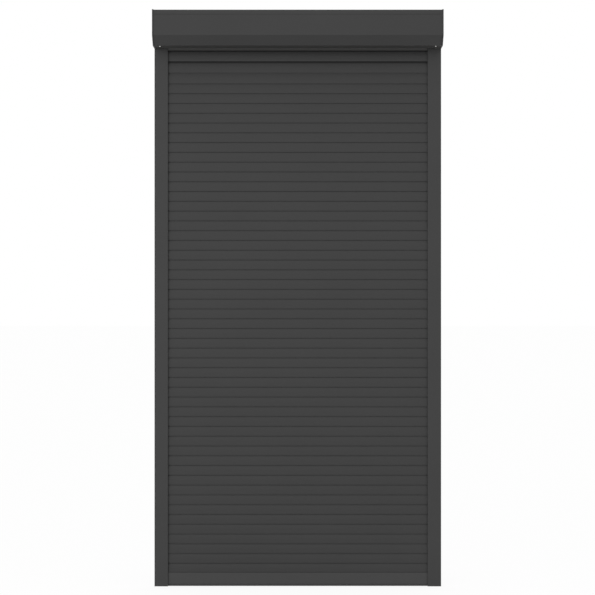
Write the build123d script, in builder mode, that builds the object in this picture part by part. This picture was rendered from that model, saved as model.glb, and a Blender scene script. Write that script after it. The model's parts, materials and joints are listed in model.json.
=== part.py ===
# Exterior roller shutter: a box with a 45 degree front, two guide rails and a slatted curtain.
# Millimetres. +X is to the right seen from outside, -Y faces outwards, +Y faces the wall, +Z is up.
# Origin: middle of the width, middle of the box's depth, level with the feet of the guide rails.
import os
from math import sqrt

from build123d import *

os.makedirs("parts", exist_ok=True)

# Overall sizes
width = 1132.0  # over the guide rails and over the end caps
height = 2260.0  # from the feet of the rails to the top of the box
box_size = 137.0  # depth and height of the box
front_height = 100.6  # from the top of the box down to where its front turns into the slope
overrun = 1.0  # how far a cutting shape runs past the face it cuts

# Clearances
joint_gap = 0.3  # between pieces that lie against each other without touching
fit_gap = 0.02  # radial, between pieces that are pressed together
running_gap = 0.05  # radial, between pieces that turn on each other

# Guide rails
rail_width = 53.0
rail_depth = 22.0
rail_wall = 1.5
rail_corner = 0.8  # radius of the two front edges
channel_depth = 28.0  # from the mouth of the rail to the floor of its channel
pocket_width = 4.6  # the undercut groove that holds the gasket
pocket_depth = 1.6
pocket_rib = 1.0
pocket_toe_width = 0.8  # how far each rib turns over the groove
toe_thickness = 0.8
side_hole_radius = 2.6
access_hole_radius = 6.0
side_hole_low_height = 150.0  # height of the lowest fixing hole
side_hole_top_gap = 113.0  # from the highest fixing hole up to the box
side_hole_count = 4
side_hole_setback = 11.0  # from the rear face to the fixing holes
foot_plug_height = 10.0
foot_plug_plate = 2.0

# Curtain
curtain_setback = 11.0  # from the rear face of the rails to the middle of the slats
slat_count = 54
slats_per_run = 3
curtain_top_height = 34.5  # how far the closed curtain reaches into the box
slat_thickness = 8.4
slat_wall = 0.9
slat_chamber_wall = 1.1  # round the hollow between the hook's cavity and the shoulder
slat_end_gap = 5.0  # from the slat's end to the floor of the channel
skirt_inset = 1.3  # how far the lower edge of the front rolls in
skirt_roll_height = 7.0
crown_height = 19.0  # where the front starts to lean back
neck_inset = 3.5  # how far the front leans back at its top
shoulder_gap = 0.6  # groove between two closed slats
stem_offset = 0.2  # from the middle of the slat to the front of its hook
hook_thickness = 1.0
hook_height = 8.9  # how far the hook stands above the joint
hook_depth = 2.8  # front to back
lip_thickness = 0.8
back_chamfer_depth = 1.0
back_chamfer_height = 4.0
# The three joints above the last closed one hang partly open, as the photo shows
low_joint_gap = 4.2
middle_joint_gap = 7.0
high_joint_gap = 5.0
open_joints = {50: low_joint_gap, 51: middle_joint_gap, 52: high_joint_gap}  # by the slat below, from 0

# Bottom rail
bottom_rail_top_height = 53.5
bottom_rail_foot_height = 8.4
bottom_rail_thickness = 11.4
bottom_rail_wall = 1.2
bottom_rail_lap_height = 2.7  # how far its front and back walls rise over the first slat
bottom_rail_shelf_height = 14.0  # of the inner shelf above the foot
bottom_plug_plate = 2.0
bottom_plug_depth = 12.0
seal_slot_width = 4.0  # the slot under the bottom rail that takes the seal
seal_head_width = 6.6
seal_head_height = 2.4
seal_wall = 1.2
seal_width = 9.0
seal_end_trim = 2.0

# Gaskets of the guide rails
gasket_base_height = 1.2
gasket_bead_radius = 1.1
gasket_wing = 0.9  # thickness of the wing between base and bead

# Box sheets
sheet = 1.2
sheet_bend = 2.4  # outer radius of a fold
cap_proud = 1.5  # how far the end caps stand out round the sheets
front_lip_height = 17.5  # of the shell's front lip, below the top of the sheets
seam_gap = 1.0
tongue_height = 10.0  # the cover's upper edge, tucked behind the front lip
tongue_gap = 0.2
cover_lip_height = 8.2  # how far the cover's rear lip hangs below its underside
cover_lip_gap = 0.8  # from the cover's rear lip to the front plane of the rails
cover_lip_end_gap = 2.0  # how far the rear lip ends before the rails
sheet_end_gap = 0.3

# End caps
cap_plate = 2.5
cap_rim_width = 5.0
cap_rim_wall = 3.0
cap_corner = 2.0
cap_low_corner = 4.0
cap_flange_depth = 20.0
cap_flange_wall = 2.0
cap_panel_border = 6.0
cap_panel_depth = 1.0
cap_rib_thickness = 2.0
cap_rib_height = 4.0
cap_rib_count = 6
cap_foot_length = 60.0
cap_foot_gap = 0.25
cap_foot_chamfer = 2.0
cap_foot_wall = 2.5
lug_half_width = 7.0
lug_height = 8.0
lug_length = 9.0  # how far the screw lug stands inwards of the flange

# Cover screws
cover_screw_inset = 26.5  # from the outer face of the end cap
cover_screw_setback = 20.0  # behind the lower edge of the slope
screw_head_radius = 3.5
screw_head_height = 3.0
screw_head_bevel = 1.2
screw_shank_radius = 1.9
screw_shank_length = 9.0
screw_hole_gap = 0.4
screw_socket_radius = 1.3
socket_sides = 6
screw_socket_depth = 1.4

# Rivets that hold the rear shell
rivet_head_radius = 3.2
rivet_head_height = 0.9
rivet_shank_radius = 1.6
rivet_inset = 14.0  # from the outer face of the end cap
rivet_low_height = 30.0  # above the bottom of the box, on the rear sheet
rivet_top_gap = 27.0  # from the top of the box down to the upper rivets

# Inlet funnels above the channels
funnel_height = 22.0
funnel_flare_depth = 2.4
funnel_wall = 1.6
funnel_leg_length = 18.0
funnel_leg_thickness = 2.4
funnel_leg_width = 15.0
funnel_gap = 0.4
funnel_slot_width = 12.4

# Shaft and its idler end
shaft_sides = 8
shaft_across = 40.0  # across the flats of the octagonal tube
shaft_wall = 0.9
idler_space_length = 45.0  # from the left end cap's outer face to the tube
insert_gap = 0.15  # between the tube and the pieces inside it
collar_radius = 21.5
collar_width = 3.0
capsule_length = 80.0
capsule_recess_radius = 14.0
capsule_recess_depth = 30.0
pin_radius = 6.0
pin_length = 105.0
pin_chamfer = 1.0
capsule_screw_offset = 20.0  # from the tube's end
tube_screw_radius = 1.6
tube_screw_head_radius = 2.8
tube_screw_head_height = 1.1
tube_screw_length = 6.0

# Ball bearing of the idler end, of the closed kind
bearing_radius = 14.0
bearing_width = 8.0
bearing_inner_radius = 8.4  # outside of the inner ring
bearing_outer_radius = 11.6  # inside of the outer ring
bearing_seal_thickness = 0.8
bearing_seal_recess = 0.3  # how deep the seals sit in the rings' faces
bearing_boss_wall = 3.0
bearing_boss_extra = 2.5  # how far the boss's bore goes on behind the ring
bearing_stop_radius = 12.0

# Motor
motor_radius = 17.5
motor_length = 447.0
motor_head_radius = 20.5
motor_head_length = 14.0
motor_head_chamfer = 1.5
motor_pin_side = 14.0
motor_pin_gap = 0.15
motor_bore_radius = 7.0
motor_bore_depth = 20.0
crown_length = 24.0
crown_collar = 5.0
crown_gap = 0.6  # between the motor's head and the crown, and between the crown's collar and the tube
wheel_length = 18.0
wheel_shaft_length = 18.0
wheel_end_gap = 1.0
wheel_pocket_depth = 12.0
wheel_pocket_radius = 10.0
bracket_radius = 36.0
bracket_thickness = 3.0
bracket_pad_radius = 39.0
bracket_pad_thickness = 3.0
bracket_screw_offset = 27.0
bracket_flat = 22.0  # half the bracket's depth, where its sides are cut straight
clip_thickness = 1.0
clip_groove_radius = 6.0
clip_radius = 9.5
clip_space_radius = 12.0
clip_mouth = 9.0
bracket_screw_radius = 2.0
bracket_screw_head_radius = 3.8
bracket_screw_head_height = 2.2

# Cable outlet in the right end cap
cable_setback = 28.5  # from the wall's plane
cable_height = 24.0  # above the bottom of the box
cable_hole_radius = 7.0
bush_radius = 9.0  # of its flange, which fills the panel's depth
bush_bore_radius = 4.0
bush_inner_length = 4.0

# Suspension straps between the shaft and the top slat
strap_count = 3
strap_inset = 101.0  # from the slats' end to the middle of the first strap
strap_width = 20.0
strap_thickness = 0.6
strap_start_length = 10.0  # how far the strap runs past the middle of the shaft
strap_straight_length = 8.0  # between its bend and its hook
strap_tuck_depth = 5.0  # how deep the strap sits in its hook
strap_hook_height = 16.0
strap_hook_width = 30.0
strap_rivet_radius = 1.5
strap_rivet_head_radius = 3.0
strap_rivet_head_height = 0.8

# Places that follow from the sizes above
half_width = width / 2
rear_y = box_size / 2  # the wall's plane
front_y = -box_size / 2
box_bottom = height - box_size
slope_break = height - front_height
shaft_z = height - box_size / 2
rail_front = rear_y - rail_depth
rail_mouth = half_width - rail_width  # distance of the rails' inner edges from the middle
channel_floor = rail_mouth + channel_depth
slat_half_length = channel_floor - slat_end_gap
side_hole_pitch = (box_bottom - side_hole_top_gap - side_hole_low_height) / (side_hole_count - 1)
curtain_y = rear_y - curtain_setback
slat_front = -slat_thickness / 2
slat_back = slat_thickness / 2
hook_head_room = hook_height + joint_gap
first_slat = bottom_rail_top_height - bottom_rail_lap_height
closed_curtain = box_bottom + curtain_top_height - first_slat - sum(open_joints.values())
slat_pitch = closed_curtain / slat_count  # from slat to slat while the joints are closed
bottom_rail_front = curtain_y - bottom_rail_thickness / 2
bottom_rail_back = curtain_y + bottom_rail_thickness / 2
bottom_rail_deck = first_slat - shoulder_gap
cover_floor = box_bottom + cap_proud
cover_lip_low = cover_floor - cover_lip_height
cap_foot_deck = cover_floor + sheet  # top of the plate over the rail, level with the flange
sheet_half_length = half_width - cap_rim_width - sheet_end_gap
flange_inset = cap_proud + sheet
flange_end = half_width - cap_rim_width - cap_flange_depth
cover_screw_x = half_width - cover_screw_inset
cover_screw_y = front_y + slope_break - cover_floor + cover_screw_setback
cable_y = rear_y - cable_setback
cable_z = box_bottom + cable_height
shaft_left_end = half_width - idler_space_length
bracket_outer = half_width - cap_plate - bracket_pad_thickness
bracket_inner = bracket_outer - bracket_thickness
head_inner = bracket_inner - joint_gap - motor_head_length
crown_outer = head_inner - crown_gap
crown_face = crown_outer - crown_collar
shaft_right_end = crown_face - crown_gap
strap_spread = 2 * (slat_half_length - strap_inset) / (strap_count - 1)
strap_places = [number * strap_spread + strap_inset - slat_half_length for number in range(strap_count)]
insert_across = shaft_across - 2 * (shaft_wall + insert_gap)


def keep(piece, name):
    """Label a finished piece and write it as its own file."""
    piece.part.label = name
    export_step(piece.part, f"parts/{name}.step")


def span(a, b):
    """Middle and length of a stretch."""
    return (a + b) / 2, abs(b - a)


def block(xs, ys, zs, mode=Mode.ADD):
    """A box between two corners, in the part being built."""
    (x, dx), (y, dy), (z, dz) = span(*xs), span(*ys), span(*zs)
    with Locations((x, y, z)):
        Box(dx, dy, dz, mode=mode)


def patch(us, vs, mode=Mode.ADD):
    """A rectangle between two corners, in the sketch being built."""
    (u, du), (v, dv) = span(*us), span(*vs)
    with Locations((u, v)):
        Rectangle(du, dv, mode=mode)


def rod(xs, radius, y=0, z=shaft_z, mode=Mode.ADD):
    """A cylinder along X, on the shaft's axis unless told otherwise."""
    x, length = span(*xs)
    with Locations(Location((x, y, z), (0, 90, 0))):
        Cylinder(radius, length, mode=mode)


def octagon(across, mode=Mode.ADD):
    """The shaft's section, standing on a flat, in the sketch being built."""
    with Locations((0, shaft_z)):
        RegularPolygon(across / 2, shaft_sides, major_radius=False, rotation=180 / shaft_sides, mode=mode)


def outline(inset, floor):
    """Corners of the box's section in Y and Z, moved inwards by inset and cut off at a floor."""
    slope_sum = front_y + slope_break + inset * sqrt(2)
    return [
        (rear_y - inset, floor),
        (rear_y - inset, height - inset),
        (front_y + inset, height - inset),
        (front_y + inset, slope_sum - front_y - inset),
        (slope_sum - floor, floor),
    ]


def slat_bottom(number):
    """Height of a slat's lower edge; slats are counted from the bottom, starting at 0."""
    opened = sum(gap for below, gap in open_joints.items() if below < number)
    return first_slat + number * slat_pitch + opened


def hook_points(joint, shoulder):
    """The hook that stands on a shoulder and reaches over a joint, from its front foot to its rear foot."""
    front = curtain_y + stem_offset
    top = joint + hook_height
    return [
        (front, shoulder),
        (front, top),
        (front + hook_depth, top),
        (front + hook_depth, top - hook_thickness),
        (front + hook_thickness, top - hook_thickness),
        (front + hook_thickness, shoulder),
    ]


def cavity_points(bottom):
    """The lower end of a slat from its rear face to the tip of its skirt, round the hook's cavity."""
    back = curtain_y + slat_back
    wall = back - slat_wall
    lip_edge = curtain_y + stem_offset + hook_thickness + joint_gap
    skirt = curtain_y + slat_front + slat_wall
    return [
        (back, bottom),
        (lip_edge, bottom),
        (lip_edge, bottom + lip_thickness),
        (wall, bottom + lip_thickness),
        (wall, bottom + hook_head_room),
        (skirt, bottom + hook_head_room),
        (skirt, bottom + skirt_roll_height),
        (skirt + skirt_inset, bottom),
    ]


def chamber_points(bottom, shoulder):
    """The closed hollow inside a slat."""
    front = curtain_y + slat_front + slat_chamber_wall
    back = curtain_y + slat_back - slat_chamber_wall
    floor = bottom + hook_head_room + slat_chamber_wall
    roof = shoulder - slat_chamber_wall
    return [
        (front, floor),
        (front, bottom + crown_height),
        (front + neck_inset, roof),
        (back - back_chamfer_depth, roof),
        (back, shoulder - back_chamfer_height),
        (back, floor),
    ]


# Guide rails: one extrusion each, with a channel for the curtain, a chamber for the fixings and
# two undercut pockets for the gaskets at the mouth
for side, name in ((-1, "left"), (1, "right")):
    mouth = side * rail_mouth
    outer = side * half_width
    floor = side * channel_floor
    floor_back = side * (channel_floor + rail_wall)
    rib_near = side * (rail_mouth + pocket_rib)
    rib_far = side * (rail_mouth + pocket_rib + pocket_width)
    rib_end = side * (rail_mouth + 2 * pocket_rib + pocket_width)
    with BuildPart() as guide_rail:
        with BuildSketch(Plane.XY) as rail_section:
            patch((mouth, outer), (rail_front, rear_y))
            fillet(rail_section.vertices().group_by(Axis.Y)[0], rail_corner)
            patch((mouth, floor), (rail_front + rail_wall, rear_y - rail_wall), Mode.SUBTRACT)
            patch(
                (floor_back, outer - side * rail_wall),
                (rail_front + rail_wall, rear_y - rail_wall),
                Mode.SUBTRACT,
            )
            for wall_y, inward in ((rail_front + rail_wall, 1), (rear_y - rail_wall, -1)):
                rib_top = wall_y + inward * (pocket_depth + toe_thickness)
                toe_foot = wall_y + inward * pocket_depth
                patch((mouth, rib_near), (wall_y, rib_top))
                patch((rib_far, rib_end), (wall_y, rib_top))
                patch((rib_near, rib_near + side * pocket_toe_width), (toe_foot, rib_top))
                patch((rib_far, rib_far - side * pocket_toe_width), (toe_foot, rib_top))
        extrude(amount=box_bottom)
        for number in range(side_hole_count):
            hole_z = side_hole_low_height + number * side_hole_pitch
            hole_y = rear_y - side_hole_setback
            rod((outer + side * overrun, floor_back), side_hole_radius, hole_y, hole_z, Mode.SUBTRACT)
            rod((floor_back, floor - side * overrun), access_hole_radius, hole_y, hole_z, Mode.SUBTRACT)
    keep(guide_rail, f"guide_rail_{name}")

    # Gaskets: a foot in the pocket, a wing through its mouth and a round bead next to the curtain
    for wall_y, inward, place in (
        (rail_front + rail_wall, 1, "front"),
        (rear_y - rail_wall, -1, "rear"),
    ):
        bead_face = bottom_rail_front if inward > 0 else bottom_rail_back
        bead_y = bead_face - inward * (joint_gap + gasket_bead_radius)
        middle = side * (rail_mouth + pocket_rib + pocket_width / 2)
        foot_half = pocket_width / 2 - joint_gap
        foot_y = wall_y + inward * joint_gap
        with BuildPart() as rail_gasket:
            with BuildSketch(Plane.XY):
                foot_top = foot_y + inward * gasket_base_height
                patch((middle - foot_half, middle + foot_half), (foot_y, foot_top))
                patch((middle - gasket_wing / 2, middle + gasket_wing / 2), (foot_y, bead_y))
                with Locations((middle, bead_y)):
                    Circle(gasket_bead_radius)
            extrude(amount=box_bottom)
        keep(rail_gasket, f"rail_gasket_{name}_{place}")

    # Foot plugs: they close the chamber where the rail stands on the sill
    with BuildPart() as foot_plug:
        plug_near = floor_back + side * joint_gap
        plug_far = outer - side * (rail_wall + joint_gap)
        plug_front = rail_front + rail_wall + joint_gap
        plug_rear = rear_y - rail_wall - joint_gap
        block((plug_near, plug_far), (plug_front, plug_rear), (0, foot_plug_height))
        block(
            (plug_near + side * foot_plug_plate, plug_far - side * foot_plug_plate),
            (plug_front + foot_plug_plate, plug_rear - foot_plug_plate),
            (foot_plug_plate, foot_plug_height + overrun),
            Mode.SUBTRACT,
        )
    keep(foot_plug, f"rail_foot_plug_{name}")


# Curtain: every slat is one profile whose hook hangs in the cavity of the slat above
for run in range(slat_count // slats_per_run):
    with BuildPart() as slats:
        for place in range(slats_per_run):
            bottom = slat_bottom(run * slats_per_run + place)
            joint = bottom + slat_pitch
            shoulder = joint - shoulder_gap
            tip = (curtain_y + slat_front + skirt_inset, bottom)
            roll = (curtain_y + slat_front, bottom + skirt_roll_height)
            crown = (curtain_y + slat_front, bottom + crown_height)
            neck = (curtain_y + slat_front + neck_inset, shoulder)
            rear_edge = (curtain_y + slat_back - back_chamfer_depth, shoulder)
            rear_top = (curtain_y + slat_back, shoulder - back_chamfer_height)
            with BuildSketch(Plane.YZ.offset(-slat_half_length)):
                with BuildLine():
                    TangentArc(roll, tip, tangent=(0, -1))
                    Line(roll, crown)
                    TangentArc(crown, neck, tangent=(0, 1))
                    upper_end = (neck, *hook_points(joint, shoulder), rear_edge, rear_top)
                    Polyline(*upper_end, *cavity_points(bottom), tip)
                make_face()
                with BuildLine():
                    Polyline(*chamber_points(bottom, shoulder), close=True)
                make_face(mode=Mode.SUBTRACT)
            extrude(amount=2 * slat_half_length)
    keep(slats, f"slats_{run + 1:02d}")


# Bottom rail: a hollow bar whose hook hangs in the first slat and whose slot holds the seal
slot_low = bottom_rail_foot_height + bottom_rail_wall
slot_top = slot_low + seal_head_height + 2 * joint_gap
with BuildPart() as bottom_rail:
    with BuildSketch(Plane.YZ.offset(-slat_half_length)):
        patch((bottom_rail_front, bottom_rail_back), (bottom_rail_foot_height, bottom_rail_top_height))
        inner_front = bottom_rail_front + bottom_rail_wall
        inner_back = bottom_rail_back - bottom_rail_wall
        patch((inner_front, inner_back), (bottom_rail_deck, bottom_rail_top_height), Mode.SUBTRACT)
        shelf = bottom_rail_foot_height + bottom_rail_shelf_height
        upper_roof = bottom_rail_deck - bottom_rail_wall
        patch((inner_front, inner_back), (shelf, upper_roof), Mode.SUBTRACT)
        lower_floor = slot_top + bottom_rail_wall
        patch((inner_front, inner_back), (lower_floor, shelf - bottom_rail_wall), Mode.SUBTRACT)
        for half, low, high in (
            (seal_head_width / 2 + joint_gap, slot_low, slot_top),
            (seal_slot_width / 2, bottom_rail_foot_height, slot_low),
        ):
            patch((curtain_y - half, curtain_y + half), (low, high), Mode.SUBTRACT)
        with BuildLine():
            Polyline(*hook_points(first_slat, bottom_rail_deck), close=True)
        make_face()
    extrude(amount=2 * slat_half_length)
keep(bottom_rail, "bottom_rail")

# Bottom seal: a rubber profile with a hollow bead below and a head in the rail's slot
with BuildPart() as bottom_seal:
    seal_half_length = slat_half_length - seal_end_trim
    with BuildSketch(Plane.YZ.offset(-seal_half_length)):
        seal_middle = bottom_rail_foot_height / 2 - joint_gap / 2
        seal_top = bottom_rail_foot_height - joint_gap
        with Locations((curtain_y, seal_middle)):
            RectangleRounded(seal_width, seal_top, seal_top / 2 - joint_gap)
            RectangleRounded(
                seal_width - 2 * seal_wall,
                seal_top - 2 * seal_wall,
                seal_top / 2 - seal_wall - joint_gap / 2,
                mode=Mode.SUBTRACT,
            )
        seal_neck_half = seal_slot_width / 2 - joint_gap
        head_low = slot_low + joint_gap
        patch(
            (curtain_y - seal_neck_half, curtain_y + seal_neck_half),
            (seal_top - seal_wall / 2, head_low),
        )
        patch(
            (curtain_y - seal_head_width / 2, curtain_y + seal_head_width / 2),
            (head_low, head_low + seal_head_height),
        )
    extrude(amount=2 * seal_half_length)
keep(bottom_seal, "bottom_seal")

# End plugs of the bottom rail: a plate with a tongue in the hollow of the bar
with BuildPart() as bottom_rail_plugs:
    for side in (-1, 1):
        end = side * slat_half_length
        block(
            (end, end + side * bottom_plug_plate),
            (bottom_rail_front, bottom_rail_back),
            (bottom_rail_foot_height, bottom_rail_deck),
        )
        block(
            (end - side * bottom_plug_depth, end),
            (inner_front + joint_gap, inner_back - joint_gap),
            (shelf + joint_gap, bottom_rail_deck - bottom_rail_wall - joint_gap),
        )
keep(bottom_rail_plugs, "bottom_rail_plugs")


# Rear shell: one folded sheet with the back, the top and a short front lip
back, top_back, top_front, _, _ = outline(cap_proud, cap_foot_deck + joint_gap)
lip_end = (top_front[0], top_front[1] - front_lip_height)
with BuildPart() as rear_shell:
    with BuildSketch(Plane.YZ.offset(-sheet_half_length)):
        with BuildLine():
            FilletPolyline(back, top_back, top_front, lip_end, radius=sheet_bend)
            offset(amount=sheet, side=Side.LEFT)
        make_face()
    extrude(amount=2 * sheet_half_length)
    for side in (-1, 1):
        rivet_x = side * (half_width - rivet_inset)
        for rise in (rivet_low_height, box_size - rivet_top_gap):
            with Locations(Location((rivet_x, rear_y, box_bottom + rise), (90, 0, 0))):
                Cylinder(rivet_shank_radius + fit_gap, 2 * (flange_inset + overrun), mode=Mode.SUBTRACT)
keep(rear_shell, "rear_shell")

# Inspection cover: the front, the slope and the underside, with a tongue behind the shell's lip
# and a lip that hangs down in front of the curtain
_, _, _, slope_high, slope_low = outline(cap_proud, cover_floor)
cover_top = (slope_high[0], lip_end[1] - seam_gap)
cover_rear = (rail_front - cover_lip_gap - sheet, cover_floor)
cover_rear_low = (cover_rear[0], cover_lip_low)
tongue_outer = slope_high[0] + sheet + tongue_gap
with BuildPart() as inspection_cover:
    with BuildSketch(Plane.YZ.offset(-sheet_half_length)):
        with BuildLine():
            FilletPolyline(cover_top, slope_high, slope_low, cover_rear, cover_rear_low, radius=sheet_bend)
            offset(amount=sheet, side=Side.LEFT)
        make_face()
    extrude(amount=2 * sheet_half_length)
    tongue_half_length = flange_end - joint_gap
    block(
        (-tongue_half_length, tongue_half_length),
        (tongue_outer, tongue_outer + sheet),
        (cover_top[1] - tongue_height / 2, cover_top[1] + tongue_height),
    )
    block(
        (-tongue_half_length, tongue_half_length),
        (cover_top[0], tongue_outer + sheet),
        (cover_top[1] - tongue_height / 2, cover_top[1]),
    )
    for side in (-1, 1):
        notch_start = side * (rail_mouth - cover_lip_end_gap)
        block(
            (notch_start, side * (sheet_half_length + overrun)),
            (cover_rear[0] - overrun, cover_rear[0] + sheet + overrun),
            (cover_lip_low - overrun, cover_floor),
            Mode.SUBTRACT,
        )
        with Locations((side * cover_screw_x, cover_screw_y, cover_floor)):
            Cylinder(screw_shank_radius + screw_hole_gap, 2 * (sheet + overrun), mode=Mode.SUBTRACT)
keep(inspection_cover, "inspection_cover")

# Cover screws: pan heads under the cover's lower edge, shanks in the lugs of the end caps
with BuildPart() as cover_screws:
    for side in (-1, 1):
        head_middle = cover_floor - screw_head_height / 2
        with Locations((side * cover_screw_x, cover_screw_y, head_middle)):
            Cylinder(screw_head_radius, screw_head_height)
    chamfer(cover_screws.edges().group_by(Axis.Z)[0], screw_head_bevel)
    for side in (-1, 1):
        with Locations((side * cover_screw_x, cover_screw_y, cover_floor + screw_shank_length / 2)):
            Cylinder(screw_shank_radius, screw_shank_length)
        with BuildSketch(Plane.XY.offset(cover_floor - screw_head_height)):
            with Locations((side * cover_screw_x, cover_screw_y)):
                RegularPolygon(screw_socket_radius, socket_sides)
        extrude(amount=screw_socket_depth, mode=Mode.SUBTRACT)
keep(cover_screws, "cover_screws")

# Rivets: flat heads on the rear shell, shanks through the flanges of the end caps
shell_rivet_length = sheet + cap_flange_wall
with BuildPart() as shell_rivets:
    for side in (-1, 1):
        rivet_x = side * (half_width - rivet_inset)
        for rise in (rivet_low_height, box_size - rivet_top_gap):
            rivet_z = box_bottom + rise
            head_y = rear_y - cap_proud + rivet_head_height / 2
            shank_y = rear_y - cap_proud - shell_rivet_length / 2
            with Locations(Location((rivet_x, head_y, rivet_z), (90, 0, 0))):
                Cylinder(rivet_head_radius, rivet_head_height)
            with Locations(Location((rivet_x, shank_y, rivet_z), (90, 0, 0))):
                Cylinder(rivet_shank_radius, shell_rivet_length)
keep(shell_rivets, "shell_rivets")


# End caps: castings with a proud rim round the sheets, a flange under them, ribs, a lug for the
# cover screw, a foot in the rail's chamber and a seat for the shaft's end
for side, name in ((-1, "left"), (1, "right")):
    outer = side * half_width
    plate_in = side * (half_width - cap_plate)
    rim_in = side * (half_width - cap_rim_width)
    flange_in = side * flange_end
    with BuildPart() as end_cap:
        with BuildSketch(Plane.YZ.offset(rim_in)) as rim_section:
            with BuildLine():
                Polyline(*outline(0, box_bottom), close=True)
            make_face()
            fillet(rim_section.vertices().group_by(Axis.Y)[-1], cap_corner)
            fillet(rim_section.vertices().group_by(Axis.Y)[0].sort_by(Axis.X)[0:1], cap_low_corner)
            offset(amount=-cap_rim_wall, mode=Mode.SUBTRACT)
        extrude(amount=side * cap_rim_width)
        with BuildSketch(Plane.YZ.offset(plate_in)):
            with BuildLine():
                Polyline(*outline(cap_rim_wall / 2, box_bottom + cap_rim_wall / 2), close=True)
            make_face()
        extrude(amount=side * cap_plate)
        with BuildSketch(Plane.YZ.offset(flange_in)) as flange_section:
            with BuildLine():
                Polyline(*outline(flange_inset, cover_floor + sheet), close=True)
            make_face()
            fillet(flange_section.vertices(), sheet_bend)
            offset(amount=-cap_flange_wall, kind=Kind.INTERSECTION, mode=Mode.SUBTRACT)
        extrude(amount=plate_in - flange_in)
        with BuildSketch(Plane.YZ.offset(outer)):
            with BuildLine():
                Polyline(*outline(cap_panel_border, box_bottom + cap_panel_border), close=True)
            make_face()
        extrude(amount=-side * cap_panel_depth, mode=Mode.SUBTRACT)
        # Ribs run from the seat in the middle to the flange
        with BuildSketch(Plane.YZ.offset(plate_in)):
            rib_start = bearing_radius
            with Locations((0, shaft_z)):
                with PolarLocations((box_size + rib_start) / 2, cap_rib_count):
                    Rectangle(box_size - rib_start, cap_rib_thickness)
            with BuildLine():
                rib_inset = flange_inset + cap_flange_wall / 2
                Polyline(*outline(rib_inset, cover_floor + sheet + cap_flange_wall / 2), close=True)
            make_face(mode=Mode.INTERSECT)
        extrude(amount=-side * cap_rib_height)
        # The lug takes the cover screw from below
        block(
            (side * (flange_end - lug_length), rim_in),
            (cover_screw_y - lug_half_width, cover_screw_y + lug_half_width),
            (cover_floor + sheet, cover_floor + sheet + lug_height),
        )
        with Locations((side * cover_screw_x, cover_screw_y, cover_floor + sheet + lug_height / 2)):
            Cylinder(screw_shank_radius + fit_gap, lug_height + 2 * overrun, mode=Mode.SUBTRACT)
        # The foot stands on the rail and reaches into its chamber
        foot_in = side * (channel_floor + rail_wall)
        block((foot_in, plate_in), (rail_front, rear_y), (box_bottom, cap_foot_deck))
        foot_near = foot_in + side * cap_foot_gap
        foot_far = outer - side * (rail_wall + cap_foot_gap)
        foot_front = rail_front + rail_wall + cap_foot_gap
        foot_rear = rear_y - rail_wall - cap_foot_gap
        block(
            (foot_near, foot_far),
            (foot_front, foot_rear),
            (box_bottom - cap_foot_length, box_bottom),
        )
        chamfer(end_cap.faces().sort_by(Axis.Z)[0].edges(), cap_foot_chamfer)
        block(
            (foot_near + side * cap_foot_wall, foot_far - side * cap_foot_wall),
            (foot_front + cap_foot_wall, foot_rear - cap_foot_wall),
            (box_bottom - cap_foot_length - overrun, box_bottom),
            Mode.SUBTRACT,
        )
        # Holes for the rivets of the rear shell
        rivet_x = side * (half_width - rivet_inset)
        for rise in (rivet_low_height, box_size - rivet_top_gap):
            with Locations(Location((rivet_x, rear_y - flange_inset, box_bottom + rise), (90, 0, 0))):
                Cylinder(rivet_shank_radius + fit_gap, 2 * (cap_flange_wall + overrun), mode=Mode.SUBTRACT)
        if side < 0:
            # Round boss with a stepped bore for the ball bearing
            seat = plate_in + bearing_boss_extra
            boss_end = seat + bearing_width
            rod((plate_in, boss_end), bearing_radius + bearing_boss_wall)
            rod((seat, boss_end + overrun), bearing_radius + fit_gap, mode=Mode.SUBTRACT)
            rod((plate_in, boss_end), bearing_stop_radius, mode=Mode.SUBTRACT)
        else:
            # Round pad for the motor bracket, hollow behind the motor's pin
            pad_face = plate_in - bracket_pad_thickness
            rod((pad_face, plate_in), bracket_pad_radius)
            rod((plate_in - cap_rib_height - overrun, pad_face), bracket_pad_radius, mode=Mode.SUBTRACT)
            rod((pad_face - overrun, plate_in), clip_space_radius, mode=Mode.SUBTRACT)
            for offset_z in (-bracket_screw_offset, bracket_screw_offset):
                rod(
                    (pad_face - overrun, plate_in),
                    bracket_screw_radius + fit_gap,
                    z=shaft_z + offset_z,
                    mode=Mode.SUBTRACT,
                )
            inside = plate_in - cap_rib_height - overrun
            rod((inside, outer + overrun), cable_hole_radius, cable_y, cable_z, Mode.SUBTRACT)
    keep(end_cap, f"end_cap_{name}")

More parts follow.
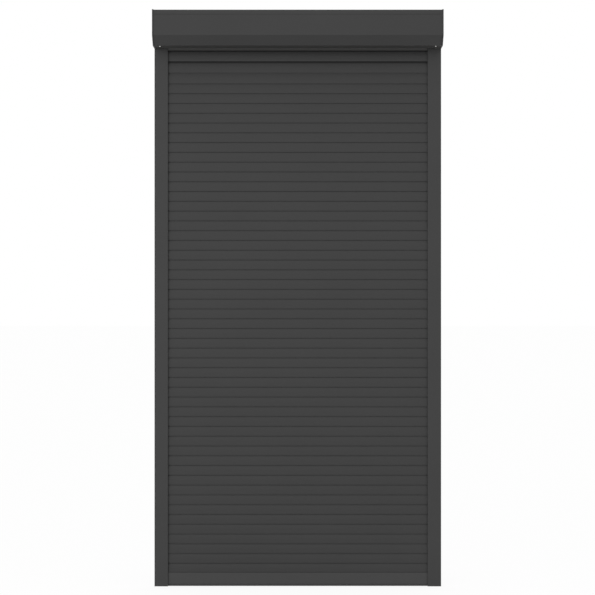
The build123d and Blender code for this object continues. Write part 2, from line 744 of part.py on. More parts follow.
    # Inlet funnel: guides the curtain from the roll into the channel, held by two legs in the rail
    funnel_near = side * (rail_mouth + funnel_gap)
    funnel_far = side * (flange_end - funnel_gap)
    funnel_front = rail_front + funnel_gap
    funnel_rear = rear_y - flange_inset - joint_gap
    slot_front = curtain_y - funnel_slot_width / 2
    slot_rear = curtain_y + funnel_slot_width / 2
    funnel_top = box_bottom + funnel_height
    with BuildPart() as inlet_funnel:
        with BuildSketch(Plane.YZ.offset(funnel_near)):
            with BuildLine():
                Polyline(
                    (funnel_front, box_bottom),
                    (slot_front, box_bottom),
                    (slot_front, funnel_top - 2 * funnel_flare_depth),
                    (slot_front - funnel_flare_depth, funnel_top),
                    (funnel_front, funnel_top),
                    close=True,
                )
            make_face()
            with BuildLine():
                Polyline(
                    (slot_rear, box_bottom),
                    (funnel_rear, box_bottom),
                    (funnel_rear, funnel_top),
                    (slot_rear, funnel_top - 2 * funnel_flare_depth),
                    close=True,
                )
            make_face()
        extrude(amount=funnel_far - funnel_near)
        wall_near = funnel_far - side * funnel_wall
        block((wall_near, funnel_far), (funnel_front, funnel_rear), (box_bottom, funnel_top))
        leg_start = side * (rail_mouth + 2 * pocket_rib + pocket_width + joint_gap)
        leg_end = leg_start + side * funnel_leg_width
        leg_front = rail_front + rail_wall + joint_gap
        leg_rear = rear_y - rail_wall - joint_gap
        leg_low = box_bottom - funnel_leg_length
        leg_high = box_bottom + funnel_wall
        block((leg_start, leg_end), (leg_front, leg_front + funnel_leg_thickness), (leg_low, leg_high))
        block((leg_start, leg_end), (leg_rear - funnel_leg_thickness, leg_rear), (leg_low, box_bottom))
    keep(inlet_funnel, f"inlet_funnel_{name}")


# Shaft: an octagonal steel tube
with BuildPart() as shaft_tube:
    with BuildSketch(Plane.YZ.offset(-shaft_left_end)):
        octagon(shaft_across)
        octagon(shaft_across - 2 * shaft_wall, Mode.SUBTRACT)
    extrude(amount=shaft_left_end + shaft_right_end)
    for side in (-1, 1):
        screw_x = -shaft_left_end + capsule_screw_offset
        with Locations((screw_x, 0, shaft_z + side * shaft_across / 2)):
            Cylinder(tube_screw_radius + fit_gap, 2 * (shaft_wall + overrun), mode=Mode.SUBTRACT)
    for strap_x in strap_places:
        with Locations((strap_x, 0, shaft_z + shaft_across / 2)):
            Cylinder(strap_rivet_radius + fit_gap, 2 * (shaft_wall + overrun), mode=Mode.SUBTRACT)
keep(shaft_tube, "shaft_tube")

# Idler capsule: a moulded plug in the tube's left end, with a collar outside it
capsule_face = -shaft_left_end
capsule_end = capsule_face + capsule_length
with BuildPart() as idler_capsule:
    with BuildSketch(Plane.YZ.offset(capsule_face)):
        octagon(insert_across)
    extrude(amount=capsule_length)
    rod((capsule_face - collar_width, capsule_face), collar_radius)
    recess_start = capsule_end - capsule_recess_depth
    rod((recess_start, capsule_end + overrun), capsule_recess_radius, mode=Mode.SUBTRACT)
    rod((capsule_face - collar_width - overrun, capsule_end), pin_radius + fit_gap, mode=Mode.SUBTRACT)
    for side in (-1, 1):
        with Locations((capsule_face + capsule_screw_offset, 0, shaft_z + side * insert_across / 2)):
            Cylinder(tube_screw_radius + fit_gap, 2 * tube_screw_length, mode=Mode.SUBTRACT)
keep(idler_capsule, "idler_capsule")

# Idler pin: a steel pin through the capsule, carried by the bearing
bearing_left = -half_width + cap_plate + bearing_boss_extra
with BuildPart() as idler_pin:
    rod((bearing_left, bearing_left + pin_length), pin_radius)
    chamfer(idler_pin.edges().filter_by(GeomType.CIRCLE), pin_chamfer)
keep(idler_pin, "idler_pin")

# Capsule screws: they hold the capsule in the tube
with BuildPart() as capsule_screws:
    for side in (-1, 1):
        screw_x = capsule_face + capsule_screw_offset
        flat_z = shaft_z + side * shaft_across / 2
        with Locations((screw_x, 0, flat_z + side * tube_screw_head_height / 2)):
            Cylinder(tube_screw_head_radius, tube_screw_head_height)
        with Locations((screw_x, 0, flat_z - side * tube_screw_length / 2)):
            Cylinder(tube_screw_radius, tube_screw_length)
keep(capsule_screws, "capsule_screws")

# Ball bearing: two rings, and between them two seals that hide the balls
bearing_right = bearing_left + bearing_width
for ring, near, far in (
    ("inner", pin_radius + fit_gap, bearing_inner_radius),
    ("outer", bearing_outer_radius, bearing_radius),
):
    with BuildPart() as bearing_ring:
        rod((bearing_left, bearing_right), far)
        rod((bearing_left - overrun, bearing_right + overrun), near, mode=Mode.SUBTRACT)
    keep(bearing_ring, f"bearing_{ring}_ring")
with BuildPart() as bearing_seals:
    seal_left = bearing_left + bearing_seal_recess
    seal_right = bearing_right - bearing_seal_recess
    rod((seal_left, seal_left + bearing_seal_thickness), bearing_outer_radius - fit_gap)
    rod((seal_right - bearing_seal_thickness, seal_right), bearing_outer_radius - fit_gap)
    rod((bearing_left, bearing_right), bearing_inner_radius + running_gap, mode=Mode.SUBTRACT)
keep(bearing_seals, "bearing_seals")

# Motor: a slim tube that lies inside the shaft, with a head that stands in the right end cap
motor_end = head_inner - motor_length
with BuildPart() as motor_tube:
    rod((motor_end, head_inner), motor_radius)
    rod(
        (motor_end - overrun, motor_end + motor_bore_depth),
        motor_bore_radius,
        mode=Mode.SUBTRACT,
    )
keep(motor_tube, "motor_tube")

clip_inner = bracket_outer + joint_gap
with BuildPart() as motor_head:
    rod((head_inner, head_inner + motor_head_length), motor_head_radius)
    chamfer(motor_head.edges().filter_by(GeomType.CIRCLE).sort_by(Axis.X)[-1], motor_head_chamfer)
    pin_half = motor_pin_side / 2
    block(
        (head_inner + motor_head_length, half_width - cap_plate - joint_gap),
        (-pin_half, pin_half),
        (shaft_z - pin_half, shaft_z + pin_half),
    )
    with BuildSketch(Plane.YZ.offset(clip_inner - joint_gap / 2)):
        with Locations((0, shaft_z)):
            Circle(clip_space_radius)
            Circle(clip_groove_radius, mode=Mode.SUBTRACT)
    extrude(amount=clip_thickness + joint_gap, mode=Mode.SUBTRACT)
keep(motor_head, "motor_head")

# Motor bracket: a steel plate on the end cap's pad, with a square hole for the head's pin
with BuildPart() as motor_bracket:
    rod((bracket_inner, bracket_outer), bracket_radius)
    hole_half = pin_half + motor_pin_gap
    block(
        (bracket_inner - overrun, bracket_outer + overrun),
        (-hole_half, hole_half),
        (shaft_z - hole_half, shaft_z + hole_half),
        Mode.SUBTRACT,
    )
    for cut_side in (-1, 1):
        block(
            (bracket_inner - overrun, bracket_outer + overrun),
            (cut_side * bracket_flat, cut_side * (bracket_radius + overrun)),
            (shaft_z - bracket_radius, shaft_z + bracket_radius),
            Mode.SUBTRACT,
        )
        rod(
            (bracket_inner - overrun, bracket_outer + overrun),
            bracket_screw_radius + fit_gap,
            z=shaft_z + cut_side * bracket_screw_offset,
            mode=Mode.SUBTRACT,
        )
keep(motor_bracket, "motor_bracket")

with BuildPart() as motor_bracket_screws:
    for cut_side in (-1, 1):
        screw_z = shaft_z + cut_side * bracket_screw_offset
        head_face = bracket_inner - bracket_screw_head_height
        rod((head_face, bracket_inner), bracket_screw_head_radius, z=screw_z)
        rod((bracket_inner, half_width - cap_plate), bracket_screw_radius, z=screw_z)
keep(motor_bracket_screws, "motor_bracket_screws")

# Motor clip: an open ring in the groove of the pin, behind the bracket
with BuildPart() as motor_clip:
    rod((clip_inner, clip_inner + clip_thickness), clip_radius)
    rod(
        (clip_inner - overrun, clip_inner + clip_thickness + overrun),
        clip_groove_radius + fit_gap,
        mode=Mode.SUBTRACT,
    )
    block(
        (clip_inner - overrun, clip_inner + clip_thickness + overrun),
        (-clip_mouth / 2, clip_mouth / 2),
        (shaft_z - clip_radius - overrun, shaft_z),
        Mode.SUBTRACT,
    )
keep(motor_clip, "motor_clip")

# Limit crown: turns with the tube on the motor's body, so that the motor counts the turns
with BuildPart() as limit_crown:
    rod((crown_face, crown_outer), collar_radius)
    with BuildSketch(Plane.YZ.offset(crown_face - crown_length)):
        octagon(insert_across)
    extrude(amount=crown_length)
    rod(
        (crown_face - crown_length - overrun, crown_outer + overrun),
        motor_radius + running_gap,
        mode=Mode.SUBTRACT,
    )
keep(limit_crown, "limit_crown")

# Drive wheel: an octagonal plug on the motor's output shaft
wheel_face = motor_end - wheel_end_gap
with BuildPart() as drive_wheel:
    with BuildSketch(Plane.YZ.offset(wheel_face - wheel_length)):
        octagon(insert_across)
    extrude(amount=wheel_length)
    rod(
        (wheel_face - wheel_length - overrun, wheel_face - wheel_length + wheel_pocket_depth),
        wheel_pocket_radius,
        mode=Mode.SUBTRACT,
    )
    rod((wheel_face, wheel_face + wheel_end_gap + wheel_shaft_length), motor_bore_radius - running_gap)
keep(drive_wheel, "drive_wheel")

# Cable bush: a rubber grommet in the end cap's cable outlet
cap_inner = half_width - cap_plate
with BuildPart() as cable_bush:
    rod((half_width - cap_panel_depth, half_width), bush_radius, cable_y, cable_z)
    rod(
        (cap_inner - bush_inner_length, half_width - cap_panel_depth),
        cable_hole_radius - fit_gap,
        cable_y,
        cable_z,
    )
    rod(
        (cap_inner - bush_inner_length - overrun, half_width + overrun),
        bush_bore_radius,
        cable_y,
        cable_z,
        Mode.SUBTRACT,
    )
keep(cable_bush, "cable_bush")

# Suspension straps: spring steel bands from the top of the shaft to the hooks on the top slat
strap_z = shaft_z + shaft_across / 2 + strap_thickness / 2 + joint_gap
hook_bottom = slat_bottom(slat_count) + hook_height - hook_thickness - lip_thickness - joint_gap
hook_top = hook_bottom + strap_hook_height
strap_low = strap_z - strap_thickness / 2
strap_front = curtain_y - strap_thickness / 2
strap_end = hook_top - strap_tuck_depth
strap_bend = strap_low - strap_end - strap_straight_length
with BuildPart() as suspension_straps:
    for strap_x in strap_places:
        with BuildSketch(Plane.YZ.offset(strap_x - strap_width / 2)):
            with BuildLine():
                FilletPolyline(
                    (-strap_start_length, strap_low),
                    (strap_front, strap_low),
                    (strap_front, strap_end),
                    radius=strap_bend,
                )
                offset(amount=strap_thickness, side=Side.LEFT)
            make_face()
        extrude(amount=strap_width)
        with Locations((strap_x, 0, strap_z)):
            Cylinder(strap_rivet_radius + fit_gap, strap_thickness + 2 * overrun, mode=Mode.SUBTRACT)
keep(suspension_straps, "suspension_straps")

tube_inside = shaft_z + shaft_across / 2 - shaft_wall
with BuildPart() as strap_rivets:
    for strap_x in strap_places:
        with Locations((strap_x, 0, strap_z + strap_thickness / 2 + strap_rivet_head_height / 2)):
            Cylinder(strap_rivet_head_radius, strap_rivet_head_height)
        shank_middle, shank_length = span(strap_z + strap_thickness / 2, tube_inside)
        with Locations((strap_x, 0, shank_middle)):
            Cylinder(strap_rivet_radius, shank_length)
keep(strap_rivets, "strap_rivets")

# Strap hooks: short profiles with the slat's cavity below and a slot for the strap above
with BuildPart() as strap_hooks:
    for strap_x in strap_places:
        with BuildSketch(Plane.YZ.offset(strap_x - strap_hook_width / 2)):
            with BuildLine():
                Polyline(
                    (curtain_y + slat_front + skirt_inset, hook_bottom),
                    (curtain_y + slat_front, hook_bottom + skirt_roll_height),
                    (curtain_y + slat_front, hook_top),
                    (curtain_y + slat_back, hook_top),
                    *cavity_points(hook_bottom),
                    close=True,
                )
            make_face()
            slot_half = strap_thickness / 2 + joint_gap
            slot_floor = strap_end - joint_gap
            patch((curtain_y - slot_half, curtain_y + slot_half), (slot_floor, hook_top), Mode.SUBTRACT)
        extrude(amount=strap_hook_width)
keep(strap_hooks, "strap_hooks")
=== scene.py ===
# %% [markdown]
# # An exterior roller shutter
#
# The shutter hangs in front of a window: a folded aluminium box holds the shaft and the motor, two guide
# rails carry the curtain, and the curtain is a chain of slats that hook into each other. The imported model
# brings every rigid piece in its real place and size, so this script doesn't model them again. It gives
# them the finishes of the real shutter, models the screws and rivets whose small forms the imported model
# leaves out, and sets up the camera and a plain studio.
#
# Lengths are metres, X runs to the right, Y into the picture towards the wall, and Z up.

import json
import math

import bmesh
import bpy
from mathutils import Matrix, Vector


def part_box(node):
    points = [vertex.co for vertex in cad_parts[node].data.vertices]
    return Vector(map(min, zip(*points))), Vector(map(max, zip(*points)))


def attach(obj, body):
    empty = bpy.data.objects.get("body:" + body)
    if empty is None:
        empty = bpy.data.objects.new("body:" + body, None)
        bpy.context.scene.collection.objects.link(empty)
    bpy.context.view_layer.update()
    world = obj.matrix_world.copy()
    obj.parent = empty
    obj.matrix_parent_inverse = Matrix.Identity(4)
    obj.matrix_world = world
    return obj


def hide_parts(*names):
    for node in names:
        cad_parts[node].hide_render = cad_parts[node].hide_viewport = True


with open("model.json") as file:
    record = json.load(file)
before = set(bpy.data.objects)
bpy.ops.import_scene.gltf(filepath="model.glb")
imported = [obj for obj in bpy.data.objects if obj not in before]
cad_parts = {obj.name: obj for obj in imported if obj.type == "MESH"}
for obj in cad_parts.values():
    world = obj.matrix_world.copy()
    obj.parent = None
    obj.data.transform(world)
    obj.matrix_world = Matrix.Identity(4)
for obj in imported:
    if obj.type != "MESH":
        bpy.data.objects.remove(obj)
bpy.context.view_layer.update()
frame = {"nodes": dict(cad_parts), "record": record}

# %% [markdown]
# ## Camera
#
# The picture shows the shutter square on, from level with its middle. The slope under the box and its
# underside both show, and that fixes how far away the viewer stood: about six and a half metres. A lens
# of 100 mm then fills the frame with the shutter's 2.26 m. A camera that isn't turned looks straight
# down, and a quarter turn about X makes it look along Y. Then the rails stay upright in the picture
# without any shift of the lens.

# %% The camera
LENS = 100.0
SENSOR = 36.0
VIEWPOINT = (-0.0012, -6.4814, 1.1409)
QUARTER_TURN = math.radians(90)

camera_data = bpy.data.cameras.new("camera")
camera_data.lens = LENS
camera_data.sensor_width = SENSOR
camera = bpy.data.objects.new("camera", camera_data)
camera.location = VIEWPOINT
camera.rotation_euler = (QUARTER_TURN, 0, 0)
bpy.context.scene.collection.objects.link(camera)
bpy.context.scene.camera = camera
bpy.context.scene.view_settings.view_transform = "Standard"
print("the picture covers", round(SENSOR / LENS * -VIEWPOINT[1], 3), "m at the shaft")

# %% [markdown]
# ## Helpers for materials
#
# Colours are written as sRGB hex values, the way a colour picker shows them, and one function turns them
# to the linear values that shaders work in. Patterns are written by their real size in millimetres, and
# another function turns that into a texture scale. A third adds a node to a material, with its settings
# and links, so that each material below reads as a recipe. Inputs go in by name, or by number where a
# node has several of one name.


# %% Colours, scales and nodes
def linear(hex_code):
    """An sRGB hex colour as linear red, green, blue and alpha."""
    channels = [int(hex_code[i : i + 2], 16) / 255 for i in (1, 3, 5)]
    return [c / 12.92 if c <= 0.04045 else ((c + 0.055) / 1.055) ** 2.4 for c in channels] + [1.0]


def per_size(millimetres):
    """Texture scale at which one cell of a pattern has this size."""
    return 1000.0 / millimetres


def add(tree, kind, out, inputs=None, **settings):
    """Adds a node with its settings, its input values and its links, and returns the named output."""
    node = tree.nodes.new(kind)
    for name, value in settings.items():
        setattr(node, name, value)
    for name, value in (inputs or {}).items():
        by_name = [s for s in node.inputs if s.enabled and s.name == name]
        socket = by_name[0] if by_name else node.inputs[name]
        if isinstance(value, bpy.types.NodeSocket):
            tree.links.new(value, socket)
        else:
            socket.default_value = value
    return next((s for s in node.outputs if s.enabled and s.name == out), None)


def start_material(name):
    """A new material: returns it, its node tree and where its surface goes in."""
    material = bpy.data.materials.new(name)
    material.use_nodes = True
    tree = material.node_tree
    tree.nodes.clear()
    add(tree, "ShaderNodeOutputMaterial", None)
    return material, tree, tree.nodes[0].inputs["Surface"]


print("mid grey #808080 is", round(linear("#808080")[0], 4), "in linear light")

# %% [markdown]
# ## Powder coat: wear, painted shade and painted light
#
# Box, rails, slats and bottom bar all wear the same anthracite powder coat. Before the coat itself come
# the three things that change its colour from place to place, each with a function of its own.
#
# Along folded and cut edges the coat pulls thin and gets rubbed, and shows a little lighter. A Bevel node
# finds these edges: it rounds the normal near them, so the rounded and the true normal differ only there.
# Noise breaks the wear up, as hands and brushes do.

# %% Wear on the edges
COAT_RUBBED = "#5a5a5a"
RUB = {"Scale": per_size(18.0), "Detail": 4.0}
EDGE_RADIUS = 0.0012
EDGE_SAMPLES = 4
# How alike the two normals are where wear starts and where it is full, and how much there is then
EDGE_RANGE = {"From Min": 0.995, "From Max": 0.8, "To Max": 0.16}


def wear_edges(tree, place, colour):
    """The colour with a lighter tone along the edges."""
    rounded = add(tree, "ShaderNodeBevel", "Normal", {"Radius": EDGE_RADIUS}, samples=EDGE_SAMPLES)
    true_normal = add(tree, "ShaderNodeNewGeometry", "Normal")
    sameness = add(
        tree, "ShaderNodeVectorMath", "Value", {0: rounded, 1: true_normal}, operation="DOT_PRODUCT"
    )
    edge = add(tree, "ShaderNodeMapRange", "Result", {"Value": sameness} | EDGE_RANGE)
    rub = add(tree, "ShaderNodeTexNoise", "Fac", {"Vector": place} | RUB)
    worn = add(tree, "ShaderNodeMath", "Value", {0: edge, 1: rub}, operation="MULTIPLY")
    mix = {"Factor": worn, "A": colour, "B": linear(COAT_RUBBED)}
    return add(tree, "ShaderNodeMix", "Result", mix, data_type="RGBA")


print("edges show wear within", EDGE_RADIUS * 1000, "mm")

# %% [markdown]
# Painted shade darkens the coat in the hollows: the joints of the curtain and the channels of the rails.
# An Ambient Occlusion node with a short reach finds these hollows, and there the colour turns towards a
# near black that stands in for the shade that falls in them. The picture shows the open joints at the top
# as dark lines, so there the web of the hooks, which shows through them, is painted dark over its whole
# face, as painted shade too. The web is a flat plane behind the slats' front, so this painted shade is
# placed by its distance from that front, and by a height above which it starts.

# %% Painted shade in the joints
# Painted shade: the near black that the colour in the hollows turns towards
COAT_PAINTED_SHADE = "#161616"
HOLLOW_SHADE_REACH = 0.008
HOLLOW_SHADE_SAMPLES = 6
SHELTERED = 0.05
OPEN = 0.6
# Where the middle of a hook web lies behind the slats' front, and half of its thickness
HOOK_WEB_DEPTH = 0.0049
HOOK_WEB_HALF = 0.0009
# Where the painted shade on the webs starts above the foot of the top run of slats, and over what height it
# sets in
WEB_SHADE_RISE = 0.0206
WEB_SHADE_FADE = 0.01
WEB_SHADE_SHARE = 0.8

top_run_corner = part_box("slats_18")[0]
hook_web = top_run_corner[1] + HOOK_WEB_DEPTH
web_shade_foot = top_run_corner[2] + WEB_SHADE_RISE


def web_painted_shade(tree, place):
    """How much painted shade darkens the hook webs of the top slats."""
    depth = add(tree, "ShaderNodeSeparateXYZ", "Y", {"Vector": place})
    height = add(tree, "ShaderNodeSeparateXYZ", "Z", {"Vector": place})
    on_web = {0: depth, 1: hook_web, 2: HOOK_WEB_HALF}
    behind = add(tree, "ShaderNodeMath", "Value", on_web, operation="COMPARE")
    fade = {"From Min": web_shade_foot, "From Max": web_shade_foot + WEB_SHADE_FADE, "To Max": WEB_SHADE_SHARE}
    rolled = add(tree, "ShaderNodeMapRange", "Result", {"Value": height} | fade)
    return add(tree, "ShaderNodeMath", "Value", {0: behind, 1: rolled}, operation="MULTIPLY")


def paint_hollow_shade(tree, place, colour, hollow_shade, shaded_webs):
    """The colour with painted shade, at this share, in the hollows, and on the hook webs if they are
    shaded.
    """
    shelter = add(
        tree, "ShaderNodeAmbientOcclusion", "AO", {"Distance": HOLLOW_SHADE_REACH}, samples=HOLLOW_SHADE_SAMPLES
    )
    hollows = {"From Min": SHELTERED, "From Max": OPEN, "To Min": 1.0 - hollow_shade}
    # Painted shade: less of the coat's own colour where the hollow is deep
    unshaded = add(tree, "ShaderNodeMapRange", "Result", {"Value": shelter} | hollows)
    if shaded_webs:
        less = {0: unshaded, 1: web_painted_shade(tree, place)}
        unshaded = add(tree, "ShaderNodeMath", "Value", less, operation="SUBTRACT", use_clamp=True)
    mix = {"Factor": unshaded, "A": linear(COAT_PAINTED_SHADE), "B": colour}
    return add(tree, "ShaderNodeMix", "Result", mix, data_type="RGBA")


# Where the painted shade on the hook webs starts
print("the stain starts", round(web_shade_foot, 4), "m up, on the plane y =", round(hook_web, 4))

# %% [markdown]
# The box's underside and its hanging lip get a paler tone: painted light that stands in for the light
# reaching them from below. It lies on all that is below one height, the height of the underside, where
# the heads of the cover screws seat.

# %% Painted light under the box
COAT_PAINTED_LIGHT = "#6c6b69"
UNDERSIDE_LIGHT_SHARE = 0.22
# Heights above the underside where the painted light ends and where it is full
UNDERSIDE_LIGHT_ENDS = 0.0012
UNDERSIDE_LIGHT_FULL = 0.0004
# How far the heads of the cover screws stand below the underside
HEAD_HEIGHT = 0.003

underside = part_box("cover_screws")[0][2] + HEAD_HEIGHT


def paint_underside_light(tree, place, colour):
    """The colour with painted light, a paler tone, on all that is below the underside of the box."""
    level = add(tree, "ShaderNodeSeparateXYZ", "Z", {"Vector": place})
    below = {"From Min": underside + UNDERSIDE_LIGHT_ENDS, "From Max": underside + UNDERSIDE_LIGHT_FULL, "To Max": UNDERSIDE_LIGHT_SHARE}
    painted_light = add(tree, "ShaderNodeMapRange", "Result", {"Value": level} | below)
    mix = {"Factor": painted_light, "A": colour, "B": linear(COAT_PAINTED_LIGHT)}
    return add(tree, "ShaderNodeMix", "Result", mix, data_type="RGBA")


print("the underside of the box is", round(underside, 4), "m up")

# %% [markdown]
# ## Powder coat: the coat itself
#
# The powder is a polyester resin with pigment, sprayed on dry and melted in an oven. That leaves a skin
# of about 0.08 mm with a faint orange peel: soft dimples about 2 mm across, which change both gloss and
# relief. The tone drifts a little over a hand's width, as the thickness does. The gloss is semi-matt,
# which is a roughness near 0.5, and the specular level is low, since the photo's coat mirrors little of
# its white studio.
#
# Pieces that were extruded show the fine lines of the die through the coat, always along the piece. So
# the recipe takes the direction of these lines and stretches a noise along it, by a mapping that leaves
# that axis out. Real die lines are a few tenths of a millimetre apart, too fine to show here, and are
# drawn about five times as coarse.

# %% Powder coat on aluminium
RESIN_IOR = 1.5
COAT_SHEEN = 0.12
COAT_GLOSS = {"To Min": 0.44, "To Max": 0.56}
CLOUD = {"Scale": per_size(260.0), "Detail": 3.0}
PEEL = {"Scale": per_size(2.2), "Detail": 2.0}
PEEL_RELIEF = {"Strength": 0.25, "Distance": 0.00004}
DIE_LINES = {"Scale": per_size(1.6), "Detail": 2.0}
DIE_RELIEF = {"Strength": 0.2, "Distance": 0.00003}
ACROSS = {"x": (0.0, 1.0, 1.0), "z": (1.0, 1.0, 0.0)}


def powder_coat(name, tones, lines_along=None, hollow_shade=0.0, shaded_webs=False, lit_from_below=False):
    """Semi-matt powder coat; lines_along is the axis of the die lines that an extrusion shows."""
    material, tree, surface = start_material(name)
    place = add(tree, "ShaderNodeTexCoord", "Object")
    cloud = add(tree, "ShaderNodeTexNoise", "Fac", {"Vector": place} | CLOUD)
    mix = {"Factor": cloud, "A": linear(tones[0]), "B": linear(tones[1])}
    colour = add(tree, "ShaderNodeMix", "Result", mix, data_type="RGBA")
    colour = wear_edges(tree, place, colour)
    colour = paint_hollow_shade(tree, place, colour, hollow_shade, shaded_webs)
    if lit_from_below:
        colour = paint_underside_light(tree, place, colour)
    peel = add(tree, "ShaderNodeTexNoise", "Fac", {"Vector": place} | PEEL)
    gloss = add(tree, "ShaderNodeMapRange", "Result", {"Value": peel} | COAT_GLOSS)
    relief = add(tree, "ShaderNodeBump", "Normal", {"Height": peel} | PEEL_RELIEF)
    if lines_along:
        flattened = {"Vector": place, "Scale": ACROSS[lines_along]}
        drawn_out = add(tree, "ShaderNodeMapping", "Vector", flattened)
        lines = add(tree, "ShaderNodeTexNoise", "Fac", {"Vector": drawn_out} | DIE_LINES)
        relief = add(tree, "ShaderNodeBump", "Normal", {"Height": lines, "Normal": relief} | DIE_RELIEF)
    skin = {
        "Base Color": colour,
        "Roughness": gloss,
        "IOR": RESIN_IOR,
        "Specular IOR Level": COAT_SHEEN,
        "Normal": relief,
    }
    tree.links.new(add(tree, "ShaderNodeBsdfPrincipled", "BSDF", skin), surface)
    return material


# The sheet's coat gets painted light on all that is below the underside of the box.
sheet_coat = powder_coat("powder_coat_on_folded_sheet", ("#424242", "#464646"), lit_from_below=True)
# The rails and the slats get painted shade in their hollows, the slats also on their hook webs.
rail_coat = powder_coat("powder_coat_on_extruded_rail", ("#444444", "#474747"), "z", hollow_shade=0.6)
slat_coat = powder_coat(
    "powder_coat_on_extruded_slat", ("#424242", "#454545"), "x", hollow_shade=1.0, shaded_webs=True
)
# The bar's tones are lighter than the other coats': painted light that makes up for the dimmer light near
# the floor.
lightened_bar_coat = powder_coat("powder_coat_on_extruded_bar", ("#4b4b4b", "#4e4e4e"), "x")
print("coats:", [m.name for m in (sheet_coat, rail_coat, slat_coat, lightened_bar_coat)])

# %% [markdown]
# ## Rubber and moulded plastic
#
# The gaskets in the rails and the cable grommet are extruded or moulded black rubber: dull, a little
# dusty, with fine pores. The seal under the bottom bar is extruded in a dark grey PVC. The plugs, the
# inlet funnels and the pieces at the ends of the shaft are black nylon, moulded in tools with a
# spark-eroded grain that keeps them from looking wet. All are one recipe, with its own colours, grain
# and gloss for each. Real pores and grain are about 0.2 mm across, too fine to show, and are drawn at
# 0.7 to 0.9 mm.

# %% Rubber, nylon and PVC
PORE_MM = 0.9
MOULD_GRAIN_MM = 0.7
DUST_PATCHES = {"Scale": per_size(40.0), "Detail": 5.0}
GRAIN_DETAIL = 3.0
GRAIN_STRENGTH = 0.4


def soft_plastic(name, tones, grain_mm, gloss_range, relief_depth):
    """A dull dark material with patches of dust and a fine grain."""
    material, tree, surface = start_material(name)
    place = add(tree, "ShaderNodeTexCoord", "Object")
    dust = add(tree, "ShaderNodeTexNoise", "Fac", {"Vector": place} | DUST_PATCHES)
    mix = {"Factor": dust, "A": linear(tones[0]), "B": linear(tones[1])}
    colour = add(tree, "ShaderNodeMix", "Result", mix, data_type="RGBA")
    cells = {"Vector": place, "Scale": per_size(grain_mm), "Detail": GRAIN_DETAIL}
    grain = add(tree, "ShaderNodeTexNoise", "Fac", cells)
    shine = {"Value": grain, "To Min": gloss_range[0], "To Max": gloss_range[1]}
    gloss = add(tree, "ShaderNodeMapRange", "Result", shine)
    bumps = {"Height": grain, "Strength": GRAIN_STRENGTH, "Distance": relief_depth}
    relief = add(tree, "ShaderNodeBump", "Normal", bumps)
    body = {"Base Color": colour, "Roughness": gloss, "IOR": RESIN_IOR, "Normal": relief}
    tree.links.new(add(tree, "ShaderNodeBsdfPrincipled", "BSDF", body), surface)
    return material


rubber = soft_plastic(
    "extruded_rubber", ("#1d1d1d", "#2c2b29"), PORE_MM, gloss_range=(0.72, 0.92), relief_depth=0.00006
)
nylon = soft_plastic(
    "moulded_nylon", ("#202122", "#292a2b"), MOULD_GRAIN_MM, gloss_range=(0.48, 0.64), relief_depth=0.00005
)
pvc = soft_plastic(
    "extruded_grey_pvc", ("#3d3d3d", "#444444"), PORE_MM, gloss_range=(0.55, 0.75), relief_depth=0.00004
)
print("rubber and plastics:", [m.name for m in (rubber, nylon, pvc)])

# %% [markdown]
# ## Metals of the drive
#
# Zinc plating gives small steel pieces a cool, slightly blotchy shine. Springs are rolled and bearing
# rings are ground, with fine scratches in one direction, and the cover screws are cold formed stainless
# steel. A metal's look is in its roughness, so each recipe varies that more than the colour. Real
# scratches are much finer than half a millimetre, and are drawn as coarse as that to show at all.

# %% Zinc, spring steel, bearing steel and stainless
BLOTCHES = {"Scale": per_size(9.0), "Detail": 3.0}
SCRATCHES = {"Scale": per_size(0.5), "Detail": 3.0}
SCRATCH_RELIEF = {"Strength": 0.3, "Distance": 0.00002}
ALONG_X = (0.05, 1.0, 1.0)
ALONG_Y = (1.0, 0.05, 1.0)
EVERY_WAY = (1.0, 1.0, 1.0)


def bright_metal(name, tones, gloss_range, stretch):
    """A bare or plated metal with a blotchy tint and fine scratches along one axis."""
    material, tree, surface = start_material(name)
    place = add(tree, "ShaderNodeTexCoord", "Object")
    blotch = add(tree, "ShaderNodeTexNoise", "Fac", {"Vector": place} | BLOTCHES)
    mix = {"Factor": blotch, "A": linear(tones[0]), "B": linear(tones[1])}
    colour = add(tree, "ShaderNodeMix", "Result", mix, data_type="RGBA")
    drawn_out = add(tree, "ShaderNodeMapping", "Vector", {"Vector": place, "Scale": stretch})
    scratch = add(tree, "ShaderNodeTexNoise", "Fac", {"Vector": drawn_out} | SCRATCHES)
    shine = {"Value": scratch, "To Min": gloss_range[0], "To Max": gloss_range[1]}
    gloss = add(tree, "ShaderNodeMapRange", "Result", shine)
    relief = add(tree, "ShaderNodeBump", "Normal", {"Height": scratch} | SCRATCH_RELIEF)
    body = {"Base Color": colour, "Metallic": 1.0, "Roughness": gloss, "Normal": relief}
    tree.links.new(add(tree, "ShaderNodeBsdfPrincipled", "BSDF", body), surface)
    return material


zinc = bright_metal("zinc_plated_steel", ("#b4b8bb", "#a7a9a6"), (0.28, 0.46), EVERY_WAY)
spring = bright_metal("rolled_spring_steel", ("#84878a", "#747679"), (0.24, 0.4), ALONG_Y)
ground = bright_metal("ground_bearing_steel", ("#c3c6c8", "#b8bbbd"), (0.12, 0.24), ALONG_X)
stainless = bright_metal("cold_formed_stainless_steel", ("#dad9d6", "#cbcac7"), (0.2, 0.34), EVERY_WAY)
print("bright metals:", [m.name for m in (zinc, spring, ground, stainless)])

# %% [markdown]
# The octagonal tube is rolled from hot-dipped strip. Its zinc has frozen in flat crystals, called spangle,
# about 12 mm across, which differ in tone and gloss. A Voronoi texture gives such cells, with one random
# value for each.

# %% Galvanised strip
SPANGLE_MM = 12.0
SPANGLE_TONES = ("#9ea2a4", "#b9bdbf")
SPANGLE_GLOSS = {"To Min": 0.3, "To Max": 0.52}

